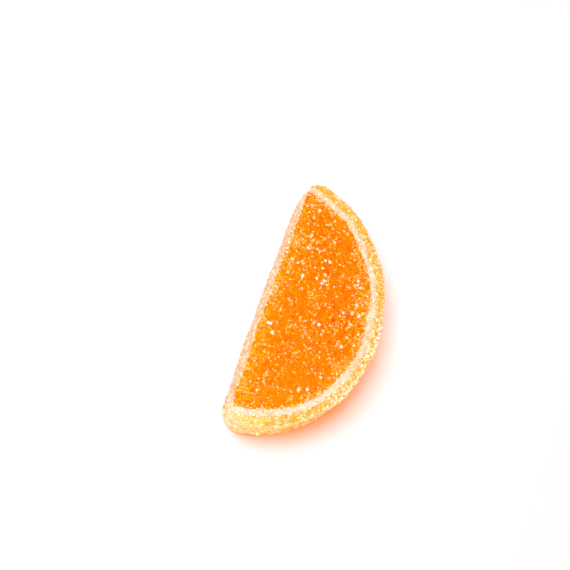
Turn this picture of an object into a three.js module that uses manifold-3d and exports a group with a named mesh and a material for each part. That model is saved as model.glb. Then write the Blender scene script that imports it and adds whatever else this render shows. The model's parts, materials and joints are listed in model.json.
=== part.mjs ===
// A sugared fruit jelly slice: a half-moon cut across a long half-round log of candy.
// The log has a clear orange jelly core. A thin white layer and a golden outer layer are laid
// round its curved side, so both run through the slice and show on its faces and at its tips.
// The cut slice is rolled in coarse sugar, and its larger crystals stand out of every layer.
//
// Millimetres, +Z up. X runs from tip to tip and Y from the straight side to the arc. The slice
// lies on one cut face, and the origin is on that face, at the middle of the slice's box.
import * as THREE from 'three';
import { ConvexGeometry } from 'three/addons/geometries/ConvexGeometry.js';
import { MeshSurfaceSampler } from 'three/addons/math/MeshSurfaceSampler.js';
import { mergeVertices } from 'three/addons/utils/BufferGeometryUtils.js';
import Module from 'manifold-3d';

// The half-moon outline
const ARC_RADIUS = 25.8;
const ARC_SHOULDER = 0.22; // the arc stands out this far at 45 degrees and falls short at its crown
const ARC_LEAN = 0.3; // one shoulder is this much fuller than the mean, and the other less full
const CENTRE_TO_CUT = 3.3; // from the arc's centre to the middle of the straight side
const CUT_BOW = 0.45; // the straight side falls back this far from its middle to its tips
const TIP_RADII = { right: 5, left: 3.2 }; // in plan, at +X and at -X

// Thickness, and the soft edges round both cut faces
const THICKNESS = 9;
const TOP_EDGE_RADIUS = 0.6;
const BASE_EDGE_RADIUS = 0.5;
const FACE_WAVE = 0.1; // height of the slow swells that the cutting wire leaves on the upper face
const FACE_WAVELENGTH = 17;
const FACE_WAVE_SKEWS = { across: 1 / 2, along: 1 / 3 }; // the swells run slantwise over the face
const SIDE_WAVE = 0.1; // the same on the sides
const SIDE_WAVES_ROUND = 9;

// The layers, from the curved side inwards
const PEEL_THICKNESS = 1.65;
const PITH_THICKNESS = 1.27;
const LAYER_GAP = 0.25;
const LAYER_WAVE = 0.12; // the joints between the layers wander this far
const LAYER_WAVES_ROUND = 11;

// Sugar crystals: the largest ones only, each a worn block sunk a little into the candy
const CRYSTAL_WIDTHS = { largest: 1.15, smallest: 0.65 };
// A crystal's foot, in the candy, and its top: height over the surface and spread, by its width
const CRYSTAL_FOOT = { rise: -0.4, spread: 1 };
const CRYSTAL_TOP = { rise: 0.32, spread: 0.78 };
const CRYSTAL_LEAN = 0.35; // radians
const CRYSTAL_UNEVENNESS = 0.3; // each corner is drawn in and along by up to this share
const CRYSTAL_SIDES = { fewer: 4, more: 5 };
const FEWER_SIDED_SHARE = 0.6; // of the crystals
const CRYSTAL_SPACINGS = { face: 1.75, straight_side: 1.56, curved_side: 1.85, pith: 1.5 };
const CRYSTAL_TRIES = 16000;
const CRYSTAL_LOWEST = 0.95; // crystals start this far above the face that the slice rests on
const CRYSTAL_CLEARANCE = 0.05; // from a crystal's side to the next layer
const SUGAR_SEED = 41;

// How finely the curved forms are faceted
const OUTLINE_POINTS = 80;
const OUTLINE_SAMPLES = 720;
const EDGE_STEPS = 2;
const SIDE_STEPS = 2;
const FACE_RING_SHARES = [0.82, 0.55, 0.28]; // each ring has half the points of the one outside it
const LAYER_POINTS = 96;
const BISECTIONS = 40;

// Worked out from the above
const CROWN_RADIUS = ARC_RADIUS - ARC_SHOULDER;
const ARC_CENTRE_Y = -(CROWN_RADIUS + CENTRE_TO_CUT) / 2;
const HALF_LENGTH = Math.sqrt(ARC_RADIUS ** 2 - CENTRE_TO_CUT ** 2);
const HEART = new THREE.Vector2(0, (CROWN_RADIUS + CENTRE_TO_CUT) / 2 + ARC_CENTRE_Y);
const JELLY_INSET = PEEL_THICKNESS + PITH_THICKNESS;

const COLOURS = {
  jelly: new THREE.Color().setRGB(0.99, 0.54, 0.06, THREE.SRGBColorSpace),
  pith: new THREE.Color().setRGB(0.99, 0.91, 0.78, THREE.SRGBColorSpace),
  peel: new THREE.Color().setRGB(0.98, 0.79, 0.45, THREE.SRGBColorSpace),
};
const SUGARED_ROUGHNESS = 0.55;

const wasm = await Module();
wasm.setup();

// The curved side, from the arc's centre, at an angle from the crown
function arcRadius(angle) {
  const shoulders = ARC_LEAN * Math.sin(2 * angle) - ARC_SHOULDER * Math.cos(4 * angle);
  return ARC_RADIUS + shoulders;
}

// A joint between two layers is the same arc, drawn in by an inset, and wanders a little.
function jointRadius(angle, inset) {
  return arcRadius(angle) - inset + LAYER_WAVE * Math.sin(LAYER_WAVES_ROUND * angle);
}

// How far a point is inside the arc, measured towards the arc's centre
function depthFromArc(x, y) {
  const up = y - ARC_CENTRE_Y;
  return arcRadius(Math.atan2(x, up)) - Math.hypot(x, up);
}

// How far a point is inside the straight side
function depthFromCut(x, y) {
  const cutLine = ARC_CENTRE_Y + CENTRE_TO_CUT + CUT_BOW * (x / HALF_LENGTH) ** 2;
  return y - cutLine;
}

// How far a point is inside the half-moon, whose two tips are rounded off
function depthInside(x, y) {
  const fromArc = depthFromArc(x, y);
  const fromCut = depthFromCut(x, y);
  const tipRadius = x > 0 ? TIP_RADII.right : TIP_RADII.left;
  if (fromArc > tipRadius || fromCut > tipRadius) {
    return Math.min(fromArc, fromCut);
  }
  return tipRadius - Math.hypot(tipRadius - fromArc, tipRadius - fromCut);
}

// Where a ray from the heart of the slice meets the half-moon's edge
function edgePoint(angle) {
  const direction = new THREE.Vector2(Math.cos(angle), Math.sin(angle));
  let near = 0;
  let far = 2 * ARC_RADIUS;
  for (let step = 0; step < BISECTIONS; step += 1) {
    const middle = (near + far) / 2;
    const point = direction.clone().multiplyScalar(middle).add(HEART);
    if (depthInside(point.x, point.y) > 0) {
      near = middle;
    } else {
      far = middle;
    }
  }
  return direction.multiplyScalar(near).add(HEART);
}

// Evenly spaced points round the half-moon, anticlockwise, each with its outward direction
function halfMoon() {
  const samples = [];
  for (let index = 0; index < OUTLINE_SAMPLES; index += 1) {
    const point = edgePoint((2 * Math.PI * index) / OUTLINE_SAMPLES);
    samples.push(new THREE.Vector3(point.x, point.y, 0));
  }
  const edge = new THREE.CatmullRomCurve3(samples, true);
  edge.arcLengthDivisions = OUTLINE_SAMPLES;
  return edge.getSpacedPoints(OUTLINE_POINTS).slice(0, OUTLINE_POINTS).map((place, index) => {
    const along = edge.getTangentAt(index / OUTLINE_POINTS);
    const outward = new THREE.Vector3(along.y, -along.x, 0);
    const turn = (2 * Math.PI * index) / OUTLINE_POINTS;
    return { place, outward, turn };
  });
}

// Height of the upper face over its mean
function faceSwell(x, y) {
  const turn = (2 * Math.PI) / FACE_WAVELENGTH;
  const { across, along } = FACE_WAVE_SKEWS;
  return FACE_WAVE * Math.sin(turn * (x + across * y)) * Math.cos(turn * (y - along * x));
}

// One ring of the slice's skin, drawn in from the outline and raised to a height
function ring(outline, inset, height, followsFace) {
  return outline.map(({ place, outward, turn }) => {
    const lump = SIDE_WAVE * Math.sin(SIDE_WAVES_ROUND * turn + height);
    const point = place.clone().addScaledVector(outward, lump - inset);
    point.z = height + followsFace * faceSwell(point.x, point.y);
    return point;
  });
}

// The whole slice as one closed skin: flat underneath, rounded at both faces' edges
function sliceSkin() {
  const outline = halfMoon();
  const rings = [];
  for (let step = 0; step <= EDGE_STEPS; step += 1) {
    const turn = (Math.PI / 2) * (step / EDGE_STEPS);
    const inset = BASE_EDGE_RADIUS * (1 - Math.sin(turn));
    rings.push(ring(outline, inset, BASE_EDGE_RADIUS * (1 - Math.cos(turn)), 0));
  }
  const sideTop = THICKNESS - TOP_EDGE_RADIUS;
  for (let step = 1; step < SIDE_STEPS; step += 1) {
    const share = step / SIDE_STEPS;
    rings.push(ring(outline, 0, THREE.MathUtils.lerp(BASE_EDGE_RADIUS, sideTop, share), share));
  }
  for (let step = 0; step <= EDGE_STEPS; step += 1) {
    const turn = (Math.PI / 2) * (step / EDGE_STEPS);
    const inset = TOP_EDGE_RADIUS * (1 - Math.cos(turn));
    rings.push(ring(outline, inset, sideTop + TOP_EDGE_RADIUS * Math.sin(turn), 1));
  }
  const rim = rings.at(-1);
  FACE_RING_SHARES.forEach((share, step) => {
    const every = 2 ** (step + 1);
    rings.push(rim.filter((point, index) => index % every === 0).map((point) => {
      const x = THREE.MathUtils.lerp(HEART.x, point.x, share);
      const y = THREE.MathUtils.lerp(HEART.y, point.y, share);
      return new THREE.Vector3(x, y, THICKNESS + faceSwell(x, y));
    }));
  });
  const faceHeart = new THREE.Vector3(HEART.x, HEART.y, THICKNESS + faceSwell(HEART.x, HEART.y));
  return stitch(rings, new THREE.Vector3(HEART.x, HEART.y, 0), faceHeart);
}

// Joins rings into a skin, closed by a point under the first ring and one over the last. A ring
// has as many points as the one before it, or half as many.
function stitch(rings, lowest, highest) {
  const points = [lowest, ...rings.flat(), highest];
  const faces = [];
  rings[0].forEach((point, index) => {
    faces.push(0, 1 + ((index + 1) % rings[0].length), 1 + index);
  });
  let start = 1;
  for (let level = 0; level + 1 < rings.length; level += 1) {
    const count = rings[level].length;
    const above = rings[level + 1].length;
    const each = count / above;
    for (let index = 0; index < above; index += 1) {
      const foot = Array.from({ length: each + 1 }, (_, step) => {
        return start + ((index * each + step) % count);
      });
      const head = start + count + index;
      const nextHead = start + count + ((index + 1) % above);
      for (let step = 0; step < each; step += 1) {
        faces.push(foot[step], foot[step + 1], step + 1 < each ? head : nextHead);
      }
      faces.push(foot[each - 1], nextHead, head);
    }
    start += count;
  }
  rings.at(-1).forEach((point, index) => {
    faces.push(start + index, start + ((index + 1) % rings.at(-1).length), points.length - 1);
  });
  const geometry = new THREE.BufferGeometry().setFromPoints(points);
  geometry.setIndex(faces);
  return geometry;
}

// A tall block that holds everything on the inner side of one layer joint
function layerCutter(inset) {
  const outline = [];
  for (let index = 0; index < LAYER_POINTS; index += 1) {
    const angle = (2 * Math.PI * index) / LAYER_POINTS;
    const radius = jointRadius(angle, inset);
    outline.push(new THREE.Vector2(radius * Math.sin(angle), radius * Math.cos(angle)));
  }
  const height = 2 * THICKNESS;
  const block = new THREE.ExtrudeGeometry(new THREE.Shape(outline), {
    depth: height,
    bevelEnabled: false,
  });
  return solid(block.translate(0, ARC_CENTRE_Y, (THICKNESS - height) / 2));
}

// A closed geometry as a solid that can be joined and cut
function solid(geometry) {
  const bare = geometry.clone();
  bare.deleteAttribute('normal');
  bare.deleteAttribute('uv');
  const merged = mergeVertices(bare);
  const vertProperties = Float32Array.from(merged.attributes.position.array);
  const triVerts = Uint32Array.from(merged.index.array);
  return new wasm.Manifold(new wasm.Mesh({ numProp: 3, vertProperties, triVerts }));
}

// One sugar crystal: a flat-sided block that narrows upwards, no two alike, at a place
function crystal(place, outward, width, random) {
  const sides = random() < FEWER_SIDED_SHARE ? CRYSTAL_SIDES.fewer : CRYSTAL_SIDES.more;
  const corners = [];
  for (let side = 0; side < sides; side += 1) {
    const turn = (2 * Math.PI * (side + CRYSTAL_UNEVENNESS * random())) / sides;
    const reach = (width / 2) * (1 - CRYSTAL_UNEVENNESS * random());
    for (const { rise, spread } of [CRYSTAL_FOOT, CRYSTAL_TOP]) {
      const across = reach * spread;
      const height = width * rise;
      corners.push(new THREE.Vector3(across * Math.cos(turn), across * Math.sin(turn), height));
    }
  }
  const lean = new THREE.Euler(
    CRYSTAL_LEAN * (2 * random() - 1),
    CRYSTAL_LEAN * (2 * random() - 1),
    Math.PI * random(),
  );
  const standing = new THREE.Quaternion().setFromUnitVectors(
    new THREE.Vector3(0, 0, 1),
    outward,
  );
  const turned = standing.multiply(new THREE.Quaternion().setFromEuler(lean));
  const geometry = new ConvexGeometry(corners);
  geometry.applyQuaternion(turned);
  geometry.translate(place.x, place.y, place.z);
  return solid(geometry);
}

// Which layer a point of the skin is on, and how far it is from the nearest joint
function layerAt(point) {
  const up = point.y - ARC_CENTRE_Y;
  const depth = jointRadius(Math.atan2(point.x, up), 0) - Math.hypot(point.x, up);
  if (depth > JELLY_INSET) {
    return { name: 'jelly', room: depth - JELLY_INSET };
  }
  if (depth > PEEL_THICKNESS) {
    const room = Math.min(depth - PEEL_THICKNESS, JELLY_INSET - depth);
    return { name: 'pith', room };
  }
  return { name: 'peel', room: PEEL_THICKNESS - depth };
}

// How far apart crystals are, which depends on the side of the slice and on the layer
function crystalSpacing(point, layer) {
  if (layer.name === 'pith') {
    return CRYSTAL_SPACINGS.pith;
  }
  if (depthFromCut(point.x, point.y) < TOP_EDGE_RADIUS) {
    return CRYSTAL_SPACINGS.straight_side;
  }
  return layer.name === 'peel' ? CRYSTAL_SPACINGS.curved_side : CRYSTAL_SPACINGS.face;
}

// Crystals spread evenly over all but the underside, the largest placed first. Each keeps clear
// of the layers beside its own.
function crystalsByLayer(skin) {
  THREE.MathUtils.seededRandom(SUGAR_SEED);
  const random = () => THREE.MathUtils.seededRandom();
  const sampler = new MeshSurfaceSampler(new THREE.Mesh(skin));
  sampler.setRandomGenerator(random).build();
  const crystals = { jelly: [], pith: [], peel: [] };
  const taken = [];
  for (let attempt = 0; attempt < CRYSTAL_TRIES; attempt += 1) {
    const place = new THREE.Vector3();
    const outward = new THREE.Vector3();
    sampler.sample(place, outward);
    const { largest, smallest } = CRYSTAL_WIDTHS;
    const width = THREE.MathUtils.lerp(largest, smallest, attempt / CRYSTAL_TRIES);
    const layer = layerAt(place);
    const wall = LAYER_GAP / 2 + CRYSTAL_CLEARANCE;
    const fits = layer.room > width / 2 + wall && place.z > CRYSTAL_LOWEST;
    const spacing = crystalSpacing(place, layer);
    if (fits && taken.every((other) => other.distanceTo(place) > spacing)) {
      taken.push(place);
      crystals[layer.name].push(crystal(place, outward, width, random));
    }
  }
  return crystals;
}

// A finished layer as a named mesh, in its own colour
function layerMesh(name, colour, body, crystals) {
  const sugared = crystals.reduce((joined, next) => joined.add(next), body);
  const { vertProperties, triVerts } = sugared.getMesh();
  const geometry = new THREE.BufferGeometry();
  geometry.setAttribute('position', new THREE.BufferAttribute(vertProperties, 3));
  geometry.setIndex(new THREE.BufferAttribute(triVerts, 1));
  geometry.computeVertexNormals();
  const material = new THREE.MeshStandardMaterial({
    color: colour,
    roughness: SUGARED_ROUGHNESS,
    metalness: 0,
  });
  const mesh = new THREE.Mesh(geometry, material);
  mesh.name = name;
  return mesh;
}

const skin = sliceSkin();
skin.computeVertexNormals();
const slice = solid(skin);
const halfGap = LAYER_GAP / 2;
const crystals = crystalsByLayer(skin);

const jelly = slice.intersect(layerCutter(JELLY_INSET + halfGap));
const pith = slice
  .intersect(layerCutter(PEEL_THICKNESS + halfGap))
  .subtract(layerCutter(JELLY_INSET - halfGap));
const peel = slice.subtract(layerCutter(PEEL_THICKNESS - halfGap));

const group = new THREE.Group();
group.add(layerMesh('jelly_body', COLOURS.jelly, jelly, crystals.jelly));
group.add(layerMesh('white_layer', COLOURS.pith, pith, crystals.pith));
group.add(layerMesh('golden_outer_layer', COLOURS.peel, peel, crystals.peel));

export default group;
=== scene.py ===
import json
import math

import bmesh
import bpy
import numpy as np
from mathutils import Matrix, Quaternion, Vector, noise

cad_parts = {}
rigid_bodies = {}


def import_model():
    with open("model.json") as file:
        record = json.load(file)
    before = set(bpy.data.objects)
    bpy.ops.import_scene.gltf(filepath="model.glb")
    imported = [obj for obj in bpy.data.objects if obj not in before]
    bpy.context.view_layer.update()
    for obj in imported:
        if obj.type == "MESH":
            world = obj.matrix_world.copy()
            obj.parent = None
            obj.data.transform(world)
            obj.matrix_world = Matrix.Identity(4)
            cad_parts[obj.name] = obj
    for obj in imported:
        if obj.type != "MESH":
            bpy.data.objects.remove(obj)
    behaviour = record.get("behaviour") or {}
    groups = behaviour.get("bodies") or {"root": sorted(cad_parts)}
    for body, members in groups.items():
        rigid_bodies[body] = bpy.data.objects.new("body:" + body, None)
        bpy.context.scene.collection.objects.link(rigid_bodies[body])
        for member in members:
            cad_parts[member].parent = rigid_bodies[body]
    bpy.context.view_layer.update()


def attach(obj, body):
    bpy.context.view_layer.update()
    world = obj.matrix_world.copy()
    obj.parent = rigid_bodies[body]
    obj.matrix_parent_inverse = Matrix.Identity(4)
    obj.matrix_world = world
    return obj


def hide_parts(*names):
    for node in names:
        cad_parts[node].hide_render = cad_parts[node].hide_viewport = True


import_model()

# The slice: a half-moon cut with a wire across a long half-round log of fruit jelly candy. It is
# one closed skin here, a little uneven like the real one, and the three layers are cut from it.
MM = 0.001
ARC_RADIUS = 25.8 * MM
ARC_SHOULDER = 0.22 * MM  # the arc stands out at 45 degrees and falls short at its crown
ARC_LEAN = 0.3 * MM  # one shoulder is fuller than the other
CENTRE_TO_CUT = 3.3 * MM  # from the arc's centre to the middle of the straight side
CUT_BOW = 0.45 * MM  # the straight side falls back this far towards its tips
TIP_RADIUS_RIGHT = 5.0 * MM
TIP_RADIUS_LEFT = 3.2 * MM
THICKNESS = 9.0 * MM
TOP_EDGE_RADIUS = 0.6 * MM
BASE_EDGE_RADIUS = 0.5 * MM
UNDERSIDE = 0.16 * MM  # the candy lies on its sugar, so its own underside is this high
FACE_WAVE = 0.1 * MM
FACE_WAVELENGTH = 17 * MM
FACE_WAVE_ACROSS, FACE_WAVE_ALONG = 1 / 2, 1 / 3
SIDE_WAVE = 0.1 * MM
SIDE_WAVES_ROUND = 9
OUTLINE_POINTS = 400
OUTLINE_SAMPLES = 2400
BISECTIONS = 40
EDGE_STEPS = 5
SIDE_RINGS = 24
FACE_RINGS = 44

CROWN_RADIUS = ARC_RADIUS - ARC_SHOULDER
ARC_CENTRE_Y = -(CROWN_RADIUS + CENTRE_TO_CUT) / 2
HALF_LENGTH = math.sqrt(ARC_RADIUS**2 - CENTRE_TO_CUT**2)
HEART = np.array([0.0, (CROWN_RADIUS + CENTRE_TO_CUT) / 2 + ARC_CENTRE_Y])


def arc_radius(angle):
    """The curved side, from the arc's centre, at an angle from the crown."""
    return ARC_RADIUS + ARC_LEAN * np.sin(2 * angle) - ARC_SHOULDER * np.cos(4 * angle)


def depth_from_arc(x, y):
    """How far a point is inside the curved side."""
    up = y - ARC_CENTRE_Y
    return arc_radius(np.arctan2(x, up)) - np.hypot(x, up)


def depth_from_cut(x, y):
    """How far a point is inside the straight side."""
    return y - (ARC_CENTRE_Y + CENTRE_TO_CUT + CUT_BOW * (x / HALF_LENGTH) ** 2)


def depth_inside(x, y):
    """How far a point is inside the half-moon, whose two tips are rounded off."""
    from_arc, from_cut = depth_from_arc(x, y), depth_from_cut(x, y)
    tip = np.where(x > 0, TIP_RADIUS_RIGHT, TIP_RADIUS_LEFT)
    at_tip = (from_arc < tip) & (from_cut < tip)
    rounded = tip - np.hypot(tip - from_arc, tip - from_cut)
    return np.where(at_tip, rounded, np.minimum(from_arc, from_cut))


def half_moon():
    """Evenly spaced points round the half-moon, anticlockwise, and their outward directions."""
    angle = np.linspace(0, 2 * math.pi, OUTLINE_SAMPLES, endpoint=False)
    ray = np.c_[np.cos(angle), np.sin(angle)]
    near, far = np.zeros(OUTLINE_SAMPLES), np.full(OUTLINE_SAMPLES, 2 * ARC_RADIUS)
    for _ in range(BISECTIONS):
        middle = (near + far) / 2
        point = HEART + ray * middle[:, None]
        inside = depth_inside(point[:, 0], point[:, 1]) > 0
        near, far = np.where(inside, middle, near), np.where(inside, far, middle)
    edge = HEART + ray * near[:, None]
    closed = np.vstack([edge, edge[:1]])
    run = np.r_[0, np.cumsum(np.hypot(*np.diff(closed, axis=0).T))]
    even = np.linspace(0, run[-1], OUTLINE_POINTS, endpoint=False)
    place = np.c_[np.interp(even, run, closed[:, 0]), np.interp(even, run, closed[:, 1])]
    along = np.roll(place, -1, axis=0) - np.roll(place, 1, axis=0)
    along /= np.linalg.norm(along, axis=1)[:, None]
    return place, np.c_[along[:, 1], -along[:, 0]]


def face_swell(x, y):
    """Height of the upper face over its mean, in the slow swells that the wire leaves."""
    turn = 2 * math.pi / FACE_WAVELENGTH
    across = np.sin(turn * (x + FACE_WAVE_ACROSS * y))
    return FACE_WAVE * across * np.cos(turn * (y - FACE_WAVE_ALONG * x))


def skin_ring(outline, inset, height, follows_face=0.0):
    """One ring of the skin, drawn in from the outline and raised to a height."""
    place, outward = outline
    turn = np.linspace(0, 2 * math.pi, OUTLINE_POINTS, endpoint=False)
    lump = SIDE_WAVE * np.sin(SIDE_WAVES_ROUND * turn + height / MM)
    point = place + outward * (lump - inset)[:, None]
    z = height + follows_face * face_swell(point[:, 0], point[:, 1])
    return np.c_[point, z]


def inner_ring(rim, share, swells):
    """A ring inside a face's rim, drawn in towards the heart of the face."""
    point = HEART + (rim[:, :2] - HEART) * share
    swell = face_swell(point[:, 0], point[:, 1]) if swells else 0.0
    level = THICKNESS if swells else UNDERSIDE
    return np.c_[point, np.full(len(point), level) + swell]


def ring_faces(rings, count):
    """The faces that join rings of equal length, closed by the two points after them."""
    index = np.arange(count)
    after = (index + 1) % count
    faces = []
    for level in range(rings - 1):
        low, high = level * count, (level + 1) * count
        quads = np.c_[low + index, low + after, high + after, high + index]
        faces.extend(quads.tolist())
    lowest, highest, last = rings * count, rings * count + 1, (rings - 1) * count
    faces.extend(np.c_[np.full(count, lowest), after, index].tolist())
    faces.extend(np.c_[last + index, last + after, np.full(count, highest)].tolist())
    return faces


def slice_skin():
    """The whole slice as one closed skin: its points and its faces."""
    outline = half_moon()
    quarter = np.linspace(0, math.pi / 2, EDGE_STEPS + 1)
    shares = np.linspace(0, 1, FACE_RINGS + 1)[1:]
    base = [
        skin_ring(outline, BASE_EDGE_RADIUS * (1 - math.sin(t)),
                  UNDERSIDE + BASE_EDGE_RADIUS * (1 - math.cos(t)))
        for t in quarter
    ]
    under = [inner_ring(base[0], share, False) for share in shares[:-1]]
    low, high = UNDERSIDE + BASE_EDGE_RADIUS, THICKNESS - TOP_EDGE_RADIUS
    side = [
        skin_ring(outline, 0, low + (high - low) * share, share)
        for share in np.linspace(0, 1, SIDE_RINGS + 1)[1:-1]
    ]
    top = [
        skin_ring(outline, TOP_EDGE_RADIUS * (1 - math.cos(t)),
                  high + TOP_EDGE_RADIUS * math.sin(t), 1.0)
        for t in quarter
    ]
    face = [inner_ring(top[-1], share, True) for share in shares[:-1][::-1]]
    rings = [*under, *base, *side, *top, *face]
    swell = float(face_swell(*HEART))
    hearts = [[*HEART, UNDERSIDE], [*HEART, THICKNESS + swell]]
    points = np.vstack([*rings, hearts])
    return points, ring_faces(len(rings), OUTLINE_POINTS)


skin_points, skin_faces = slice_skin()

# The core: clear orange fruit jelly, cast in a half-round trough. It is firm and lets light
# through, so it glows a deep orange. Along the joint and the straight side its colour is painted
# paler: a painted glow, for the light that shines through the candy there.
GOLDEN_THICKNESS = 1.65 * MM
WHITE_THICKNESS = 1.27 * MM
JELLY_INSET = GOLDEN_THICKNESS + WHITE_THICKNESS
JOINT_WAVE = 0.12 * MM
JOINT_WAVES_ROUND = 11
JOINT_GAP = 0.03 * MM  # the layers touch, but for this
KNIFE_POINTS = 600
SHARP_CORNER = 40  # degrees


def joint_radius(angle, inset):
    """A joint between two layers, which wanders a little."""
    return arc_radius(angle) - inset + JOINT_WAVE * np.sin(JOINT_WAVES_ROUND * angle)


def depth_in_layers(x, y):
    """How far a point is inside the curved side, counted from the wandering joints."""
    up = y - ARC_CENTRE_Y
    return joint_radius(np.arctan2(x, up), 0) - np.hypot(x, up)


def new_object(name, points, faces):
    """A mesh object at the origin, linked to the scene."""
    mesh = bpy.data.meshes.new(name)
    mesh.from_pydata([tuple(p) for p in points], [], faces)
    mesh.validate()
    made = bpy.data.objects.new(name, mesh)
    bpy.context.scene.collection.objects.link(made)
    return made


def remove(*helpers):
    """Takes helper objects out of the scene, with their meshes."""
    for helper in helpers:
        mesh = helper.data
        bpy.data.objects.remove(helper)
        bpy.data.meshes.remove(mesh)


def layer_block(inset):
    """A tall block that holds everything on the inner side of one joint."""
    angle = np.linspace(0, 2 * math.pi, KNIFE_POINTS, endpoint=False)[::-1]
    radius = joint_radius(angle, inset)
    edge = np.c_[radius * np.sin(angle), radius * np.cos(angle) + ARC_CENTRE_Y]
    floor = np.c_[edge, np.full(KNIFE_POINTS, -THICKNESS)]
    roof = np.c_[edge, np.full(KNIFE_POINTS, 2 * THICKNESS)]
    sides = ring_faces(2, KNIFE_POINTS)[:KNIFE_POINTS]
    ends = [list(range(KNIFE_POINTS))[::-1], list(range(KNIFE_POINTS, 2 * KNIFE_POINTS))]
    return new_object("layer_block", np.vstack([floor, roof]), sides + ends)


def cut(piece, inset, operation):
    """Keeps the part of a piece that is inside a joint, or outside it."""
    block = layer_block(inset)
    knife = piece.modifiers.new("knife", "BOOLEAN")
    knife.object = block
    knife.operation = operation
    knife.solver = "MANIFOLD"
    evaluated = piece.evaluated_get(bpy.context.evaluated_depsgraph_get())
    result = bpy.data.meshes.new_from_object(evaluated)
    piece.modifiers.remove(knife)
    remove(block)
    result.materials.clear()
    piece.data = result


def smooth(piece):
    """Smooth shading, kept sharp where the knife has left a corner."""
    piece.data.shade_smooth()
    piece.data.set_sharp_from_angle(angle=math.radians(SHARP_CORNER))


def places_of(piece):
    """Where a piece's points lie along the slice and across it."""
    places = np.array([v.co for v in piece.data.vertices])
    return places[:, 0], places[:, 1]


def store(piece, name, values):
    """Stores a value with each of a piece's points."""
    layer = piece.data.attributes.new(name, "FLOAT", "POINT")
    layer.data.foreach_set("value", values.astype(np.float32))


CLOUDINESS = 0.25  # how far slow clouds in the candy turn it pale
CLOUDS_PER_METRE = 260.0
GRAINS_PER_METRE = 1900.0


def candy_material(name, deep, pale, scatter, roughness):
    """Cast candy, in which light scatters. Its colour varies slowly, and is paler where the
    piece's own paleness says so; on the jelly that paleness is a painted glow. Its skin is finely
    grained."""
    material = bpy.data.materials.new(name)
    material.use_nodes = True
    nodes, links = material.node_tree.nodes, material.node_tree.links
    shader = nodes["Principled BSDF"]
    shader.inputs["Roughness"].default_value = roughness
    shader.inputs["Specular IOR Level"].default_value = 0.05
    shader.inputs["Subsurface Weight"].default_value = 1.0
    shader.inputs["Subsurface Radius"].default_value = scatter
    shader.inputs["Subsurface Scale"].default_value = 1.0
    place = nodes.new("ShaderNodeTexCoord")
    cloud = nodes.new("ShaderNodeTexNoise")
    cloud.inputs["Scale"].default_value = CLOUDS_PER_METRE
    cloud.inputs["Detail"].default_value = 4.0
    links.new(place.outputs["Object"], cloud.inputs["Vector"])
    own_paleness_and_glow = nodes.new("ShaderNodeAttribute")
    own_paleness_and_glow.attribute_name = "paleness_and_glow"
    paleness_and_glow = nodes.new("ShaderNodeMath")
    paleness_and_glow.operation = "MULTIPLY_ADD"
    paleness_and_glow.use_clamp = True
    paleness_and_glow.inputs[1].default_value = CLOUDINESS
    links.new(cloud.outputs["Fac"], paleness_and_glow.inputs[0])
    links.new(own_paleness_and_glow.outputs["Fac"], paleness_and_glow.inputs[2])
    blend = nodes.new("ShaderNodeMix")
    blend.data_type = "RGBA"
    blend.inputs["A"].default_value = (*deep, 1)
    blend.inputs["B"].default_value = (*pale, 1)
    links.new(paleness_and_glow.outputs["Value"], blend.inputs["Factor"])
    links.new(blend.outputs["Result"], shader.inputs["Base Color"])
    grain = nodes.new("ShaderNodeTexNoise")
    grain.inputs["Scale"].default_value = GRAINS_PER_METRE
    grain.inputs["Detail"].default_value = 3.0
    links.new(place.outputs["Object"], grain.inputs["Vector"])
    bump = nodes.new("ShaderNodeBump")
    bump.inputs["Strength"].default_value = 0.6
    bump.inputs["Distance"].default_value = 0.2 * MM
    links.new(grain.outputs["Fac"], bump.inputs["Height"])
    links.new(bump.outputs["Normal"], shader.inputs["Normal"])
    return material


jelly = new_object("jelly_core", skin_points, skin_faces)
cut(jelly, JELLY_INSET + JOINT_GAP / 2, "INTERSECT")
smooth(jelly)

# Painted glow: the jelly's colour is painted paler near the joint and near the straight side.
LEAST_PALENESS = 0.07
JOINT_GLOW = 0.5
JOINT_GLOW_REACH = 2.2 * MM
CUT_GLOW = 0.6
CUT_GLOW_RISE = 0.35  # it is stronger towards the right tip
CUT_GLOW_REACH = 4.0 * MM
LEFT_DEEPENING = 0.13  # the left tip is deeper by this
jelly_x, jelly_y = places_of(jelly)
joint_depth = depth_in_layers(jelly_x, jelly_y) - JELLY_INSET
cut_depth = depth_from_cut(jelly_x, jelly_y)
to_right = jelly_x / HALF_LENGTH
glow_at_joint = JOINT_GLOW * np.exp(-joint_depth / JOINT_GLOW_REACH)
glow_at_cut = (CUT_GLOW + CUT_GLOW_RISE * to_right) * np.exp(-cut_depth / CUT_GLOW_REACH)
at_left = LEFT_DEEPENING * np.minimum(to_right, 0)
store(jelly, "paleness_and_glow", LEAST_PALENESS + np.maximum(glow_at_joint, glow_at_cut) + at_left)
JELLY_DEEP = (0.98, 0.24, 0.0002)
JELLY_PALE = (0.99, 0.46, 0.001)
JELLY_SCATTER = (2.0 * MM, 0.8 * MM, 0.3 * MM)
jelly.data.materials.append(
    candy_material("orange_jelly", JELLY_DEEP, JELLY_PALE, JELLY_SCATTER, roughness=0.35)
)
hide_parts("jelly_body")
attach(jelly, "root")

# The white layer: a thin sheet of creamy, cloudy candy, laid round the core while it is warm, so
# that it sticks to it. It runs through the slice and shows as an even band on both faces, whiter
# towards the right tip.
white = new_object("white_band", skin_points, skin_faces)
cut(white, GOLDEN_THICKNESS + JOINT_GAP / 2, "INTERSECT")
cut(white, JELLY_INSET - JOINT_GAP / 2, "DIFFERENCE")
smooth(white)


def angle_from_crown(x, y):
    """The way round the curved side in degrees: 0 at the crown, about 90 at the right tip."""
    return np.degrees(np.arctan2(x, y - ARC_CENTRE_Y))


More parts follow.
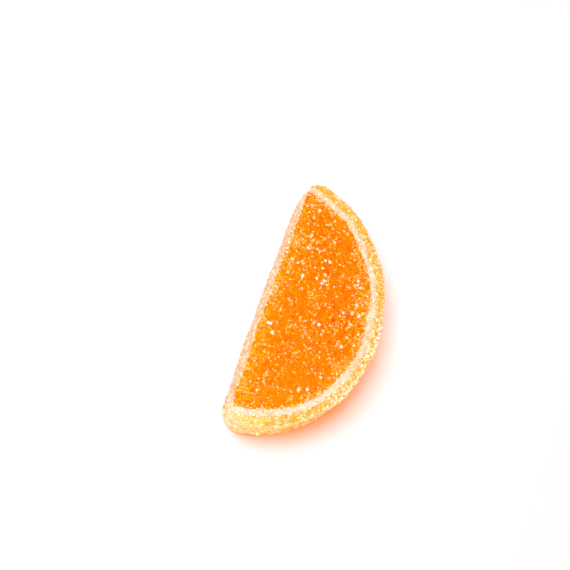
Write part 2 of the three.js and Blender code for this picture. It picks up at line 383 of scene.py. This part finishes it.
WHITE_DEEP = (0.97, 0.56, 0.39)
WHITE_PALE = (0.98, 0.76, 0.61)
WHITE_DEEP_UP_TO, WHITE_PALE_FROM = -20, 110  # degrees from the crown
WHITE_SCATTER = (0.4 * MM, 0.3 * MM, 0.3 * MM)
round_white = angle_from_crown(*places_of(white)) - WHITE_DEEP_UP_TO
store(white, "paleness_and_glow", np.clip(round_white / (WHITE_PALE_FROM - WHITE_DEEP_UP_TO), 0, 1))
white.data.materials.append(
    candy_material("white_candy", WHITE_DEEP, WHITE_PALE, WHITE_SCATTER, roughness=0.45)
)
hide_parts("white_layer")
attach(white, "root")

# The outer layer: golden candy, laid over the white one. Its outer side is the slice's curved
# side, and it holds the most sugar. It is paler near the right tip.
golden = new_object("golden_band", skin_points, skin_faces)
cut(golden, GOLDEN_THICKNESS - JOINT_GAP / 2, "DIFFERENCE")
smooth(golden)
GOLDEN_DEEP = (0.97, 0.46, 0.02)
GOLDEN_PALE = (0.98, 0.6, 0.16)
GOLDEN_DEEP_UP_TO, GOLDEN_PALE_FROM = 52, 70  # degrees from the crown
GOLDEN_SCATTER = (0.8 * MM, 0.5 * MM, 0.2 * MM)
round_golden = angle_from_crown(*places_of(golden)) - GOLDEN_DEEP_UP_TO
store(golden, "paleness_and_glow", np.clip(round_golden / (GOLDEN_PALE_FROM - GOLDEN_DEEP_UP_TO), 0, 1))
golden.data.materials.append(
    candy_material("golden_candy", GOLDEN_DEEP, GOLDEN_PALE, GOLDEN_SCATTER, roughness=0.45)
)
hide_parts("golden_outer_layer")
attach(golden, "root")

# The sugar: coarse granulated sugar, in which the cut slice is rolled after a blow of steam. It
# sticks to every side. Where it is wet it is clear and takes the candy's colour, and where it
# is dry it is white.
CRYSTAL_SHAPES = 8
CRYSTAL_SEED = 11
CRYSTAL_HALF_WIDTH = (0.34, 0.48)  # of a crystal's length, like the other crystal sizes
CRYSTAL_HALF_HEIGHT = (0.28, 0.42)
CRYSTAL_SLANT = 0.3
CRYSTAL_WEAR = 0.05
BROKEN_CORNERS = 2
BREAK = (0.1, 0.5)


def crystal_shape(number):
    """One crystal: a slanted block about one unit long, with two of its corners broken off."""
    chance = np.random.default_rng(CRYSTAL_SEED + number)
    half_width = chance.uniform(*CRYSTAL_HALF_WIDTH)
    half = np.array([0.5, half_width, chance.uniform(*CRYSTAL_HALF_HEIGHT)])
    corners = np.array([[x, y, z] for x in (-1, 1) for y in (-1, 1) for z in (-1, 1)]) * half
    corners[:, 0] += chance.uniform(-CRYSTAL_SLANT, CRYSTAL_SLANT) * corners[:, 2]
    corners += chance.uniform(-CRYSTAL_WEAR, CRYSTAL_WEAR, corners.shape)
    broken = chance.choice(len(corners), BROKEN_CORNERS, replace=False)
    points = [c for index, c in enumerate(corners) if index not in broken]
    for index in broken:
        for axis in range(3):
            chipped = corners[index].copy()
            chipped[axis] *= chance.uniform(*BREAK)
            points.append(chipped)
    shape = bmesh.new()
    for point in points:
        shape.verts.new(point)
    hull = bmesh.ops.convex_hull(shape, input=shape.verts)
    bmesh.ops.delete(shape, geom=hull["geom_interior"], context="VERTS")
    bmesh.ops.recalc_face_normals(shape, faces=shape.faces)
    mesh = bpy.data.meshes.new(f"crystal_{number}")
    shape.to_mesh(mesh)
    shape.free()
    return bpy.data.objects.new(f"crystal_{number}", mesh)


crystal_box = bpy.data.collections.new("crystals")
bpy.context.scene.collection.children.link(crystal_box)
for number in range(CRYSTAL_SHAPES):
    crystal_box.objects.link(crystal_shape(number))

CROWDING = 3.0  # places tried in each square of the spacing's width


def sugar_tree():
    """Spreads crystals over a skin, at least a spacing apart, where a weight on the skin lets them
    stick. Each is turned at random, leans a little and is sunk into the candy."""
    tree = bpy.data.node_groups.new("sugar", "GeometryNodeTree")
    sockets = {}

    def socket(name, kind, way="INPUT"):
        sockets[name] = tree.interface.new_socket(name=name, in_out=way, socket_type=kind)

    socket("Sugared", "NodeSocketGeometry", "OUTPUT")
    socket("Skin", "NodeSocketGeometry")
    socket("Spacing", "NodeSocketFloat")
    socket("Smallest", "NodeSocketFloat")
    socket("Largest", "NodeSocketFloat")
    socket("Sunk Share", "NodeSocketFloat")
    socket("Lean", "NodeSocketFloat")
    socket("Weight", "NodeSocketString")
    socket("Seed", "NodeSocketInt")
    socket("Crystals", "NodeSocketCollection")
    socket("Material", "NodeSocketMaterial")
    nodes, links = tree.nodes, tree.links
    given = nodes.new("NodeGroupInput")
    result = nodes.new("NodeGroupOutput")

    def math_node(operation, first, second):
        node = nodes.new("ShaderNodeMath")
        node.operation = operation
        for number, value in enumerate((first, second)):
            if isinstance(value, (int, float)):
                node.inputs[number].default_value = value
            else:
                links.new(value, node.inputs[number])
        return node.outputs["Value"]

    def random_value(low, high, seed_step):
        node = nodes.new("FunctionNodeRandomValue")
        node.data_type = "FLOAT"
        ends = [s for s in node.inputs if s.name in ("Min", "Max") and s.enabled]
        for end, value in zip(ends, (low, high)):
            if isinstance(value, float):
                end.default_value = value
            else:
                links.new(value, end)
        seed = [s for s in node.inputs if s.name == "Seed"][0]
        links.new(math_node("ADD", given.outputs["Seed"], seed_step), seed)
        return [s for s in node.outputs if s.enabled][0]

    weight = nodes.new("GeometryNodeInputNamedAttribute")
    weight.data_type = "FLOAT"
    links.new(given.outputs["Weight"], weight.inputs["Name"])
    spread = nodes.new("GeometryNodeDistributePointsOnFaces")
    spread.distribute_method = "POISSON"
    links.new(given.outputs["Skin"], spread.inputs["Mesh"])
    links.new(given.outputs["Spacing"], spread.inputs["Distance Min"])
    square = math_node("MULTIPLY", given.outputs["Spacing"], given.outputs["Spacing"])
    links.new(math_node("DIVIDE", CROWDING, square), spread.inputs["Density Max"])
    links.new(weight.outputs["Attribute"], spread.inputs["Density Factor"])
    links.new(given.outputs["Seed"], spread.inputs["Seed"])

    width = random_value(given.outputs["Smallest"], given.outputs["Largest"], seed_step=1)
    keep_width = nodes.new("GeometryNodeStoreNamedAttribute")
    keep_width.data_type = "FLOAT"
    keep_width.domain = "POINT"
    keep_width.inputs["Name"].default_value = "width"
    links.new(spread.outputs["Points"], keep_width.inputs["Geometry"])
    links.new(width, keep_width.inputs["Value"])
    read_width = nodes.new("GeometryNodeInputNamedAttribute")
    read_width.data_type = "FLOAT"
    read_width.inputs["Name"].default_value = "width"

    sunk = math_node("MULTIPLY", read_width.outputs["Attribute"], given.outputs["Sunk Share"])
    down = nodes.new("ShaderNodeVectorMath")
    down.operation = "SCALE"
    links.new(spread.outputs["Normal"], down.inputs[0])
    links.new(math_node("MULTIPLY", sunk, -1.0), down.inputs["Scale"])
    sink = nodes.new("GeometryNodeSetPosition")
    links.new(keep_width.outputs["Geometry"], sink.inputs["Geometry"])
    links.new(down.outputs["Vector"], sink.inputs["Offset"])

    lean = nodes.new("ShaderNodeCombineXYZ")
    forward = random_value(-1.0, 1.0, seed_step=2)
    aside = random_value(-1.0, 1.0, seed_step=3)
    links.new(math_node("MULTIPLY", forward, given.outputs["Lean"]), lean.inputs["X"])
    links.new(math_node("MULTIPLY", aside, given.outputs["Lean"]), lean.inputs["Y"])
    links.new(random_value(0.0, 2 * math.pi, seed_step=4), lean.inputs["Z"])
    turn = nodes.new("FunctionNodeEulerToRotation")
    links.new(lean.outputs["Vector"], turn.inputs["Euler"])
    turned = nodes.new("FunctionNodeRotateRotation")
    turned.rotation_space = "LOCAL"
    links.new(spread.outputs["Rotation"], turned.inputs["Rotation"])
    links.new(turn.outputs["Rotation"], turned.inputs["Rotate By"])

    shapes = nodes.new("GeometryNodeCollectionInfo")
    shapes.inputs["Separate Children"].default_value = True
    shapes.inputs["Reset Children"].default_value = True
    links.new(given.outputs["Crystals"], shapes.inputs["Collection"])
    place = nodes.new("GeometryNodeInstanceOnPoints")
    place.inputs["Pick Instance"].default_value = True
    links.new(sink.outputs["Geometry"], place.inputs["Points"])
    links.new(shapes.outputs["Instances"], place.inputs["Instance"])
    links.new(turned.outputs["Rotation"], place.inputs["Rotation"])
    links.new(read_width.outputs["Attribute"], place.inputs["Scale"])

    frost = nodes.new("GeometryNodeStoreNamedAttribute")
    frost.data_type = "FLOAT"
    frost.domain = "INSTANCE"
    frost.inputs["Name"].default_value = "frost"
    links.new(place.outputs["Instances"], frost.inputs["Geometry"])
    links.new(random_value(0.0, 1.0, seed_step=5), frost.inputs["Value"])
    real = nodes.new("GeometryNodeRealizeInstances")
    links.new(frost.outputs["Geometry"], real.inputs["Geometry"])
    finish = nodes.new("GeometryNodeSetMaterial")
    links.new(real.outputs["Geometry"], finish.inputs["Geometry"])
    links.new(given.outputs["Material"], finish.inputs["Material"])
    links.new(finish.outputs["Geometry"], result.inputs["Sugared"])
    return tree, {name: made.identifier for name, made in sockets.items()}


sugar, sugar_inputs = sugar_tree()
skin = new_object("skin", skin_points, skin_faces)
skin.data.shade_smooth()


def sugar_piece(
    name, weight, material, *, spacing, smallest, largest, sunk_share, lean, seed, bed=skin
):
    """One kind of sugar on one part of the slice, as a plain mesh that lies on the table."""
    store(bed, name, weight)
    scatter = bed.modifiers.new(name, "NODES")
    scatter.node_group = sugar
    given = {
        "Spacing": spacing,
        "Smallest": smallest,
        "Largest": largest,
        "Sunk Share": sunk_share,
        "Lean": lean,
        "Weight": name,
        "Seed": seed,
        "Crystals": crystal_box,
        "Material": material,
    }
    for socket_name, value in given.items():
        scatter[sugar_inputs[socket_name]] = value
    evaluated = bed.evaluated_get(bpy.context.evaluated_depsgraph_get())
    mesh = bpy.data.meshes.new_from_object(evaluated)
    bed.modifiers.remove(scatter)
    mesh.name = name
    points = np.empty(3 * len(mesh.vertices), dtype=np.float32)
    mesh.vertices.foreach_get("co", points)
    points = points.reshape(-1, 3)
    points[:, 2] = np.maximum(points[:, 2], 0)
    mesh.vertices.foreach_set("co", points.ravel())
    mesh.shade_flat()
    piece = bpy.data.objects.new(name, mesh)
    bpy.context.scene.collection.objects.link(piece)
    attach(piece, "root")
    return piece


def crystal_material(name, dull, bright, *, rarity, clearness, ior=1.5):
    """Sugar crystals: each has a colour of its own between a dull and a rarer bright one. Wet
    ones are clear, and bend the light less than dry ones do."""
    material = bpy.data.materials.new(name)
    material.use_nodes = True
    nodes, links = material.node_tree.nodes, material.node_tree.links
    shader = nodes["Principled BSDF"]
    shader.inputs["Roughness"].default_value = 0.2
    shader.inputs["IOR"].default_value = ior
    shader.inputs["Transmission Weight"].default_value = clearness
    frost = nodes.new("ShaderNodeAttribute")
    frost.attribute_name = "frost"
    rare = nodes.new("ShaderNodeMath")
    rare.operation = "POWER"
    rare.inputs[1].default_value = rarity
    links.new(frost.outputs["Fac"], rare.inputs[0])
    blend = nodes.new("ShaderNodeMix")
    blend.data_type = "RGBA"
    blend.inputs["A"].default_value = (*dull, 1)
    blend.inputs["B"].default_value = (*bright, 1)
    links.new(rare.outputs["Value"], blend.inputs["Factor"])
    links.new(blend.outputs["Result"], shader.inputs["Base Color"])
    return material


def ramp(value, low, high):
    """0 below low, 1 above high, and smooth between."""
    share = np.clip((value - low) / (high - low), 0, 1)
    return share * share * (3 - 2 * share)


JOINT_BLUR = 0.15 * MM
PRESSED_HEIGHT, LOOSE_HEIGHT = 0.1 * MM, 0.35 * MM  # over the candy's underside
TOP_EDGE_SHARE = 0.3  # this much of the upper edge's rounding counts as the face
x, y, z = skin_points.T
layer_depth = depth_in_layers(x, y)
in_jelly = ramp(layer_depth, JELLY_INSET - JOINT_BLUR, JELLY_INSET + JOINT_BLUR)
in_golden = 1 - ramp(layer_depth, GOLDEN_THICKNESS - JOINT_BLUR, GOLDEN_THICKNESS + JOINT_BLUR)
in_white = np.clip(1 - in_jelly - in_golden, 0, 1)
on_base = 1 - ramp(z, UNDERSIDE + PRESSED_HEIGHT, UNDERSIDE + LOOSE_HEIGHT)
on_top = ramp(z, THICKNESS - TOP_EDGE_RADIUS, THICKNESS - TOP_EDGE_SHARE * TOP_EDGE_RADIUS)
on_side = np.clip(1 - on_base - on_top, 0, 1)

# Wet sugar on the jelly's upper face: fine grains, pressed in and half dissolved by the steam.
# They cover the whole face, make it rough and let its orange through.
wet_grains = sugar_piece(
    "wet_grains",
    in_jelly * on_top,
    crystal_material(
        "wet_grains", (1.0, 0.44, 0.001), (1.0, 0.76, 0.02), rarity=1.0, clearness=1.0, ior=1.15
    ),
    spacing=0.27 * MM, smallest=0.24 * MM, largest=0.42 * MM,
    sunk_share=0.25, lean=0.6, seed=1,
)

# Drying crystals on the jelly's face: fine sugar that has stuck in small clumps, thicker near the
# arc and the straight side and in a few drifts, and thinner towards the right tip.
CLUSTER_LENGTH = 2.4 * MM
CLUMP_LENGTH = 0.95 * MM
CLUMP_STRENGTH = 1.4
THINNEST_CLUMP, THICKEST_CLUMP = 0.15, 2.4
ARC_COAT, ARC_COAT_WIDTH = 0.9, 2.6 * MM
CUT_COAT, CUT_COAT_FROM, CUT_COAT_TO = 0.7, 0.3 * MM, 2.5 * MM
RIGHT_LOSS, RIGHT_LOSS_FULL_AT = 0.35, 0.6 * HALF_LENGTH
OPEN_COVER, EDGE_COVER, DRIFT_COVER = 0.23, 0.45, 0.1
DRIFTS = (  # each one's place and radius, in millimetres
    (-2.7, 5.9, 2.0),
    (-8.4, 4.3, 1.2),
    (14.3, 2.2, 1.5),
    (16.4, -1.3, 0.9),
)


def near_spots(spots):
    """How near the skin's points are to some spots: 1 at a spot, fading out over its radius."""
    nearness = np.zeros(len(skin_points))
    for spot_x, spot_y, radius in spots:
        away = np.hypot(x / MM - spot_x, y / MM - spot_y)
        nearness += np.exp(-((away / radius) ** 2))
    return nearness


cluster = np.array([noise.noise(Vector(p) / CLUSTER_LENGTH) for p in skin_points])
clump = np.array([noise.noise(Vector(p) / CLUMP_LENGTH) for p in skin_points])
heaps = np.clip(1 + cluster + CLUMP_STRENGTH * clump, THINNEST_CLUMP, THICKEST_CLUMP)
near_arc = 1 - ramp(layer_depth, JELLY_INSET, JELLY_INSET + ARC_COAT_WIDTH)
near_cut = 1 - ramp(depth_from_cut(x, y), CUT_COAT_FROM, CUT_COAT_TO)
near_edge = np.clip(ARC_COAT * near_arc + CUT_COAT * near_cut, 0, 1)
kept = 1 - RIGHT_LOSS * ramp(x, 0, RIGHT_LOSS_FULL_AT)
drift = near_spots(DRIFTS)
cover = (OPEN_COVER + EDGE_COVER * near_edge) * kept * heaps + DRIFT_COVER * drift
fine_crystals = sugar_piece(
    "fine_crystals",
    in_jelly * on_top * np.clip(cover, 0, 1),
    crystal_material(
        "fine_crystals", (1.0, 0.69, 0.08), (1.0, 1.0, 0.8), rarity=3.5, clearness=0.3, ior=1.4
    ),
    spacing=0.27 * MM, smallest=0.17 * MM, largest=0.38 * MM,
    sunk_share=0.08, lean=0.7, seed=6,
)

# Coarse crystals on the jelly's face, mostly white: dry sugar, and painted glints for the light
# that the crystals catch. A few are scattered over it, and more lie where the fine ones have
# drifted together.
COARSE_COVER, COARSE_DRIFT_COVER = 0.012, 0.16
coarse_crystals = sugar_piece(
    "coarse_crystals",
    in_jelly * on_top * (COARSE_COVER + COARSE_DRIFT_COVER * drift),
    crystal_material(
        "coarse_crystals", (1.0, 0.8, 0.36), (1.0, 1.0, 0.84), rarity=0.6, clearness=0.2
    ),
    spacing=0.42 * MM, smallest=0.34 * MM, largest=0.62 * MM,
    sunk_share=0.0, lean=0.8, seed=22,
)

# The largest crystals on the jelly's face, dry and white, their white partly painted glints: a
# loose group near its middle and a few more by themselves, about one at each of these places.
LARGE_PLACES = (  # in millimetres
    (-6.3, -3.8), (-6.6, -2.5), (-7.8, -2.3), (-8.7, -3.5), (-5.6, -2.3), (-10.2, -3.1),
    (-5.7, -6.3), (1.3, -0.9), (5.3, -9.5), (6.4, -8.3), (14.2, 1.6),
)
LARGE_SPOT_RADIUS = 0.26  # in millimetres
LARGE_COVER = 4.0  # past 1, so that a spot is full nearly to its edge
large = LARGE_COVER * near_spots([(*place, LARGE_SPOT_RADIUS) for place in LARGE_PLACES])
large_crystals = sugar_piece(
    "large_crystals",
    on_top * np.clip(large, 0, 1),
    crystal_material(
        "large_crystals", (1.0, 0.9, 0.76), (1.0, 0.97, 0.97), rarity=1.0, clearness=0.0
    ),
    spacing=0.5 * MM, smallest=0.44 * MM, largest=0.66 * MM,
    sunk_share=0.1, lean=0.6, seed=25,
)

# Two faint curled marks on the jelly's face near the right tip, where fine sugar has caught in
# the edge of a dried bubble. Each is a thin row of small grains.
CURL_PLACES = (  # in millimetres
    ((19.3, -10.4), (19.35, -9.1), (19.1, -7.8), (18.7, -7.2)),
    ((13.6, -6.7), (14.6, -6.85), (15.6, -6.9), (16.5, -6.55), (16.9, -6.1)),
)
CURL_WIDTH = 0.3 * MM


def curl_strip(places):
    """A narrow strip of the upper face, drawn through some places."""
    line = np.array(places) * MM
    along = np.gradient(line, axis=0)
    across = np.c_[-along[:, 1], along[:, 0]] / np.linalg.norm(along, axis=1)[:, None]
    edges = np.vstack([line + across * CURL_WIDTH / 2, line - across * CURL_WIDTH / 2])
    points = np.c_[edges, THICKNESS + face_swell(edges[:, 0], edges[:, 1])]
    count = len(line)
    index = np.arange(count - 1)
    return points, np.c_[index, count + index, count + index + 1, index + 1]


curl_points, curl_faces = [], []
for places in CURL_PLACES:
    strip_points, strip_faces = curl_strip(places)
    curl_faces.extend((strip_faces + len(curl_points)).tolist())
    curl_points.extend(strip_points)
curl_bed = new_object("curl_bed", curl_points, curl_faces)
curl_marks = sugar_piece(
    "curl_marks",
    np.ones(len(curl_points)),
    crystal_material(
        "curl_marks", (1.0, 0.62, 0.1), (1.0, 0.86, 0.45), rarity=1.0, clearness=0.3, ior=1.4
    ),
    spacing=0.17 * MM, smallest=0.18 * MM, largest=0.3 * MM,
    sunk_share=0.15, lean=0.5, seed=31, bed=curl_bed,
)
remove(curl_bed)

# The sugar on the straight side, which was the flat side of the log: a thick, even coat over the
# core and the white layer's ends. It is dry, so the side is a pale peach.
TIP_COAT_FROM, TIP_COAT_FULL = 20.5 * MM, 23 * MM  # from the middle of the straight side
at_tip = ramp(x, TIP_COAT_FROM, TIP_COAT_FULL)
side_sugar = sugar_piece(
    "side_sugar",
    (in_jelly + in_white) * on_side * (1 - at_tip),
    crystal_material(
        "side_sugar", (0.98, 0.37, 0.11), (1.0, 0.83, 0.61), rarity=1.5, clearness=0.0
    ),
    spacing=0.32 * MM, smallest=0.25 * MM, largest=0.52 * MM,
    sunk_share=0.1, lean=0.6, seed=2,
)

# The sugar at the right end of the straight side, over the white layer's end: coarser and drier,
# so it is paler than the rest of the side.
tip_sugar = sugar_piece(
    "tip_sugar",
    (in_jelly + in_white) * on_side * at_tip,
    crystal_material(
        "tip_sugar", (1.0, 0.65, 0.24), (1.0, 0.93, 0.78), rarity=1.2, clearness=0.0
    ),
    spacing=0.36 * MM, smallest=0.3 * MM, largest=0.6 * MM,
    sunk_share=0.1, lean=0.6, seed=12,
)

# The sugar on the white layer's band: small crystals, well pressed in, so that the band looks
# even. They spill a little over both joints.
BAND_SPILL = 0.22 * MM
from_band = np.maximum(GOLDEN_THICKNESS - layer_depth, layer_depth - JELLY_INSET)
over_band = 1 - ramp(from_band, 0, BAND_SPILL)
band_sugar = sugar_piece(
    "band_sugar",
    over_band * on_top,
    crystal_material(
        "band_sugar", (0.98, 0.6, 0.35), (1.0, 0.95, 0.88), rarity=1.4, clearness=0.2, ior=1.4
    ),
    spacing=0.36 * MM, smallest=0.26 * MM, largest=0.45 * MM,
    sunk_share=0.2, lean=0.5, seed=3,
)

# The sugar on the golden layer's upper face: coarse and clear crystals that show the gold, with
# many white ones between them. It ends near the right tip, where a softer coat takes over.
FACE_GOLD_UP_TO, FACE_YELLOW_FROM = 60, 74  # degrees from the crown
way_round = angle_from_crown(x, y)
face_tip = ramp(way_round, FACE_GOLD_UP_TO, FACE_YELLOW_FROM)
golden_face_sugar = sugar_piece(
    "golden_face_sugar",
    in_golden * on_top * (1 - face_tip),
    crystal_material(
        "golden_face_sugar", (0.98, 0.45, 0.01), (1.0, 0.84, 0.54), rarity=1.5, clearness=0.2
    ),
    spacing=0.36 * MM, smallest=0.28 * MM, largest=0.55 * MM,
    sunk_share=0.1, lean=0.6, seed=4,
)

# The sugar on the curved side: the coarsest coat of all, hardly pressed in and pale yellow, so
# that the slice's edge is rough all round.
SIDE_GOLD_UP_TO, SIDE_YELLOW_FROM = 46, 60  # degrees from the crown
side_tip = ramp(way_round, SIDE_GOLD_UP_TO, SIDE_YELLOW_FROM)
curved_side_sugar = sugar_piece(
    "curved_side_sugar",
    in_golden * on_side * (1 - side_tip),
    crystal_material(
        "curved_side_sugar", (0.98, 0.54, 0.12), (1.0, 0.88, 0.62), rarity=1.0, clearness=0.2
    ),
    spacing=0.38 * MM, smallest=0.34 * MM, largest=0.7 * MM,
    sunk_share=0.02, lean=0.7, seed=8,
)

# The golden layer's coat towards the right tip, on its face and on its side: softer and yellower
# sugar, that has been damp and has dried again.
YELLOW_FACE_COVER = 0.5
yellow_sugar = sugar_piece(
    "yellow_sugar",
    in_golden * (on_side * side_tip + YELLOW_FACE_COVER * on_top * face_tip),
    crystal_material(
        "yellow_sugar", (1.0, 0.76, 0.32), (1.0, 0.94, 0.72), rarity=1.0, clearness=0.1
    ),
    spacing=0.38 * MM, smallest=0.3 * MM, largest=0.58 * MM,
    sunk_share=0.15, lean=0.6, seed=14,
)

# White sugar heaped on the outer rim of the upper face, where the slice was pressed into it. It
# starts left of the crown and thins out again before the right tip.
RIM_WIDTH = 0.4 * MM
RIM_FADE = 1.5 * RIM_WIDTH
RIM_DEPTH = 1.6 * MM
RIM_STARTS, RIM_FULL = -45, 0  # degrees from the crown
RIM_THINS, RIM_THIN = 40, 58
RIM_COVER, RIM_THINNING = 0.8, 0.8
on_rim = (1 - ramp(layer_depth, RIM_WIDTH, RIM_FADE)) * ramp(z, THICKNESS - RIM_DEPTH, THICKNESS)
heaped = ramp(way_round, RIM_STARTS, RIM_FULL)
heaped *= 1 - RIM_THINNING * ramp(way_round, RIM_THINS, RIM_THIN)
rim_sugar = sugar_piece(
    "rim_sugar",
    on_rim * heaped * RIM_COVER,
    crystal_material(
        "rim_sugar", (1.0, 0.58, 0.32), (1.0, 0.9, 0.84), rarity=0.9, clearness=0.0
    ),
    spacing=0.36 * MM, smallest=0.26 * MM, largest=0.58 * MM,
    sunk_share=-0.12, lean=0.7, seed=10,
)

# A dusting of white sugar, which clings to the golden layer's coat. On the curved side it ends
# before the right tip, and on the face it lies near the crown only.
DUST_THINS, DUST_ENDS = 35, 62  # degrees from the crown
FROST_STARTS, FROST_FULL, FROST_THINS, FROST_ENDS = -20, 5, 25, 45
DUST_COVER, FROST_COVER = 0.4, 0.5
dusted = 1 - ramp(way_round, DUST_THINS, DUST_ENDS)
frosted = ramp(way_round, FROST_STARTS, FROST_FULL) - ramp(way_round, FROST_THINS, FROST_ENDS)
dusting = sugar_piece(
    "dusting",
    in_golden * (DUST_COVER * on_side * dusted + FROST_COVER * on_top * frosted),
    crystal_material(
        "dusting", (1.0, 0.56, 0.26), (1.0, 0.88, 0.8), rarity=0.9, clearness=0.0
    ),
    spacing=0.34 * MM, smallest=0.26 * MM, largest=0.5 * MM,
    sunk_share=-0.1, lean=0.6, seed=9,
)

# A few stray coarse crystals, which stuck to the others last. They stand out from the curved side
# and break its outline.
DRY_SUGAR = (1.0, 0.97, 0.9)
STRAY_COVER = 0.035
stray_crystals = sugar_piece(
    "stray_crystals",
    in_golden * on_side * STRAY_COVER,
    crystal_material("stray_crystals", (1.0, 0.8, 0.5), DRY_SUGAR, rarity=0.6, clearness=0.2),
    spacing=0.6 * MM, smallest=0.55 * MM, largest=0.8 * MM,
    sunk_share=-0.2, lean=1.2, seed=13,
)

# The sugar under the slice, pressed flat by its weight. The slice lies on it, so no candy
# touches the table.
under_sugar = sugar_piece(
    "under_sugar",
    on_base,
    crystal_material("under_sugar", (0.97, 0.3, 0.05), DRY_SUGAR, rarity=1.5, clearness=0.0),
    spacing=0.4 * MM, smallest=0.3 * MM, largest=0.5 * MM,
    sunk_share=0.2, lean=0.4, seed=5,
)

remove(skin, *crystal_box.objects)
bpy.data.collections.remove(crystal_box)

# The table: a plain, matt, nearly white sheet that the slice lies on. It is wide enough to fill
# the picture from every side, and is no part of the slice.
TABLE_HALF = 1.5
TABLE_COLOUR = (0.9, 0.765, 0.895)
floor = new_object(
    "floor",
    [(-TABLE_HALF, -TABLE_HALF, 0), (TABLE_HALF, -TABLE_HALF, 0),
     (TABLE_HALF, TABLE_HALF, 0), (-TABLE_HALF, TABLE_HALF, 0)],
    [(0, 1, 2, 3)],
)
sheet = bpy.data.materials.new("white_table")
sheet.use_nodes = True
sheet_shader = sheet.node_tree.nodes["Principled BSDF"]
sheet_shader.inputs["Base Color"].default_value = (*TABLE_COLOUR, 1)
sheet_shader.inputs["Roughness"].default_value = 0.7
sheet_shader.inputs["Specular IOR Level"].default_value = 0.1
floor.data.materials.append(sheet)

# The light of a bright plain room: a large soft lamp over the straight side and a wide warm
# ceiling, which fills the slice's shadow with an orange glow. Two small low lamps brighten the
# curved side.
ROOM_GLOW = 0.04


def direction(azimuth, elevation):
    """The way from the slice to something at an azimuth and an elevation, in degrees."""
    a, e = math.radians(azimuth), math.radians(elevation)
    return Vector((math.sin(a) * math.cos(e), -math.cos(a) * math.cos(e), math.sin(e)))


def soft_lamp(name, *, azimuth, elevation, distance, width, power, colour):
    """A square lamp that faces the slice and that the camera doesn't see."""
    light = bpy.data.lights.new(name, "AREA")
    light.shape = "SQUARE"
    light.size = width
    light.energy = power
    light.color = colour
    lamp = bpy.data.objects.new(name, light)
    back = direction(azimuth, elevation)
    lamp.location = back * distance
    lamp.rotation_mode = "QUATERNION"
    lamp.rotation_quaternion = back.to_track_quat("Z", "Y")
    lamp.visible_camera = False
    bpy.context.scene.collection.objects.link(lamp)


soft_lamp(
    "key_lamp", azimuth=-4, elevation=68, distance=0.6, width=0.4,
    power=5.05, colour=(0.86, 0.86, 1.0),
)
soft_lamp(
    "warm_ceiling", azimuth=0, elevation=89.9, distance=0.8, width=1.2,
    power=20.0, colour=(1.0, 0.18, 0.01),
)
soft_lamp(
    "low_fill", azimuth=112, elevation=3.5, distance=0.7, width=0.1,
    power=2.5, colour=(1.0, 0.86, 0.2),
)
soft_lamp(
    "far_fill", azimuth=205, elevation=3.5, distance=0.7, width=0.1,
    power=1.0, colour=(1.0, 0.88, 0.4),
)
room = bpy.data.worlds.new("room")
room.use_nodes = True
room.node_tree.nodes["Background"].inputs["Color"].default_value = (1, 1, 1, 1)
room.node_tree.nodes["Background"].inputs["Strength"].default_value = ROOM_GLOW
bpy.context.scene.world = room
bpy.context.scene.view_settings.view_transform = "Standard"

# The camera: over the right tip, looking down on the upper face, and turned about its own axis so
# that the slice stands on that tip in the picture.
AIM = Vector((-4.58 * MM, -8.37 * MM, 4.5 * MM))
CAMERA_AZIMUTH, CAMERA_ELEVATION, CAMERA_ROLL = 66.33, 67.84, 45.17  # degrees
CAMERA_DISTANCE = 388.6 * MM
CAMERA_LENS = 129.73
CAMERA_SENSOR = 36
CAMERA_NEAREST = 10 * MM
camera_data = bpy.data.cameras.new("camera")
camera_data.lens = CAMERA_LENS
camera_data.sensor_width = CAMERA_SENSOR
camera_data.clip_start = CAMERA_NEAREST
camera = bpy.data.objects.new("camera", camera_data)
to_camera = direction(CAMERA_AZIMUTH, CAMERA_ELEVATION)
camera.location = AIM + to_camera * CAMERA_DISTANCE
camera.rotation_mode = "QUATERNION"
roll = Quaternion((0, 0, 1), math.radians(CAMERA_ROLL))
camera.rotation_quaternion = (-to_camera).to_track_quat("-Z", "Y") @ roll
bpy.context.scene.collection.objects.link(camera)
bpy.context.scene.camera = camera
